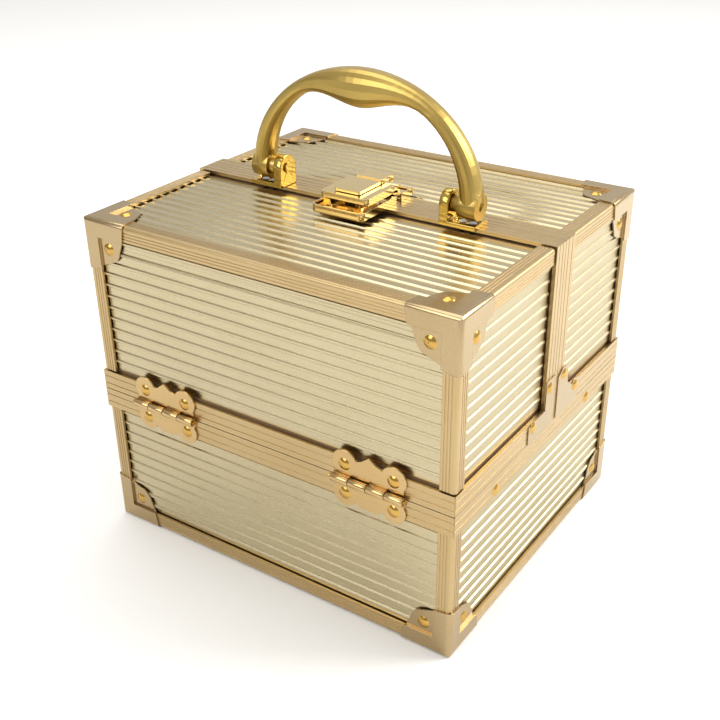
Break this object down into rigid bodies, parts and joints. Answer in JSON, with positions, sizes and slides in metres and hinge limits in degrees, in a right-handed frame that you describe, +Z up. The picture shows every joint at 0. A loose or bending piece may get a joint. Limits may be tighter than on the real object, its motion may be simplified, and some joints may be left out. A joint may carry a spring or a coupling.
{
  "type": "makeup train case",
  "caption": "Ribbed gold box case with two lids that open outwards, metal edge rails and corner caps, a swinging carry handle, a hasp latch and lifting trays inside.",
  "frame": {"origin": "centre of the case's outline on the surface it stands on", "axes": "+Z up, X along the hinges with the front lid's hinges towards -Y, +Y to the back"},
  "size_m": [0.2032, 0.1782, 0.2302],
  "materials": {
    "ribbed_skin": "champagne gold embossed sheet with small ribs",
    "wall_board": "raw fibreboard behind the skins",
    "edge_profile": "tan gold anodised extrusion with fine grooves",
    "pressed_fittings": "pale gold plated pressed steel",
    "rivets": "polished",
    "hinge_plate": "pale gold plated",
    "handle_casting": "satin gold plated zinc casting",
    "latch_plate": "polished pale gold plated",
    "steel_links": "zinc plated",
    "lining_cloth": "short pile lining",
    "tray_board": "thin board wrapped in dark lining cloth",
    "mirror_glass": "silvered glass"
  },
  "bodies": {
    "base": {"base_front_panel": "ribbed_skin", "base_rear_panel": "ribbed_skin", "base_end_panels": "ribbed_skin", "base_floor": "ribbed_skin", "base_boards": "wall_board", "base_rails": "edge_profile", "base_corner_caps": "pressed_fittings", "base_cap_rivets": "rivets", "base_mouth_frame": "edge_profile", "base_lining": "lining_cloth", "hinge_base_leaves": "hinge_plate", "hinge_pins": "rivets", "base_arm_pins": "rivets"},
    "front_lid": {"front_lid_front_panel": "ribbed_skin", "front_lid_top_panel": "ribbed_skin", "front_lid_end_panels": "ribbed_skin", "front_lid_rails": "edge_profile", "front_lid_corner_caps": "pressed_fittings", "front_lid_rivets": "rivets", "front_lid_mouth_frame": "edge_profile", "front_lid_joint_plates": "pressed_fittings", "front_lid_boards": "wall_board", "front_lid_lining": "lining_cloth", "front_hinge_lid_leaves": "hinge_plate", "handle_brackets": "latch_plate", "handle_pivot_pins": "rivets", "handle_bracket_screws": "steel_links", "lock_tray": "latch_plate", "lock_tray_rivets": "rivets", "hasp_bracket": "latch_plate", "hasp_pin": "rivets", "front_lid_tray_pins": "steel_links"},
    "rear_lid": {"rear_lid_rear_panel": "ribbed_skin", "rear_lid_top_panel": "ribbed_skin", "rear_lid_end_panels": "ribbed_skin", "rear_lid_rails": "edge_profile", "rear_lid_corner_caps": "pressed_fittings", "rear_lid_rivets": "rivets", "rear_lid_mouth_frame": "edge_profile", "rear_lid_joint_plates": "pressed_fittings", "rear_lid_boards": "wall_board", "rear_lid_lining": "lining_cloth", "mirror": "mirror_glass", "rear_hinge_lid_leaves": "hinge_plate", "catch_plate": "latch_plate", "catch_plate_rivets": "rivets", "catch_pin": "rivets", "rear_lid_tray_pins": "steel_links"},
    "handle": {"handle_grip": "handle_casting"},
    "hasp": {"hasp": "latch_plate", "lever_pin": "latch_plate"},
    "latch_lever": {"latch_lever": "latch_plate"},
    "front_tray": {"front_tray_floor": "tray_board", "front_tray_walls": "tray_board", "front_tray_dividers": "tray_board"},
    "rear_tray": {"rear_tray_floor": "tray_board", "rear_tray_walls": "tray_board", "rear_tray_dividers": "tray_board"},
    "front_arms": {"front_tray_arms": "steel_links"},
    "rear_arms": {"rear_tray_arms": "steel_links"}
  },
  "joints": [
    {"name": "front_lid_hinge", "type": "hinge", "parent": "base", "child": "front_lid", "pos_m": [0, -0.0871, 0.0773], "axis": [1, 0, 0], "range_deg": [0, 100]},
    {"name": "rear_lid_hinge", "type": "hinge", "parent": "base", "child": "rear_lid", "pos_m": [0, 0.0871, 0.0773], "axis": [-1, 0, 0], "range_deg": [0, 100]},
    {"name": "handle_swing", "type": "hinge", "parent": "front_lid", "child": "handle", "pos_m": [0, -0.0011, 0.1772], "axis": [1, 0, 0], "range_deg": [-90, 90]},
    {"name": "hasp_hinge", "type": "hinge", "parent": "front_lid", "child": "hasp", "pos_m": [0, -0.0152, 0.1719], "axis": [1, 0, 0], "range_deg": [0, 90]},
    {"name": "lever_pivot", "type": "hinge", "parent": "hasp", "child": "latch_lever", "pos_m": [0, 0.0126, 0.1762], "axis": [-1, 0, 0], "range_deg": [0, 27]},
    {"name": "front_arm_pivot", "type": "hinge", "parent": "base", "child": "front_arms", "pos_m": [0, -0.048, 0.0698], "axis": [1, 0, 0], "range_deg": [0, 100]},
    {"name": "rear_arm_pivot", "type": "hinge", "parent": "base", "child": "rear_arms", "pos_m": [0, 0.048, 0.0698], "axis": [-1, 0, 0], "range_deg": [0, 100]},
    {"name": "front_tray_pivot", "type": "hinge", "parent": "front_lid", "child": "front_tray", "pos_m": [0, -0.0521, 0.1093], "axis": [1, 0, 0], "range_deg": [-100, 0]},
    {"name": "rear_tray_pivot", "type": "hinge", "parent": "rear_lid", "child": "rear_tray", "pos_m": [0, 0.0521, 0.1093], "axis": [-1, 0, 0], "range_deg": [-100, 0]}
  ],
  "couplings": [
    {"joint": "lever_pivot", "follows": "hasp_hinge", "ratio": 0.3},
    {"joint": "front_arm_pivot", "follows": "front_lid_hinge", "ratio": 1},
    {"joint": "front_tray_pivot", "follows": "front_lid_hinge", "ratio": -1},
    {"joint": "rear_arm_pivot", "follows": "rear_lid_hinge", "ratio": 1},
    {"joint": "rear_tray_pivot", "follows": "rear_lid_hinge", "ratio": -1}
  ]
}
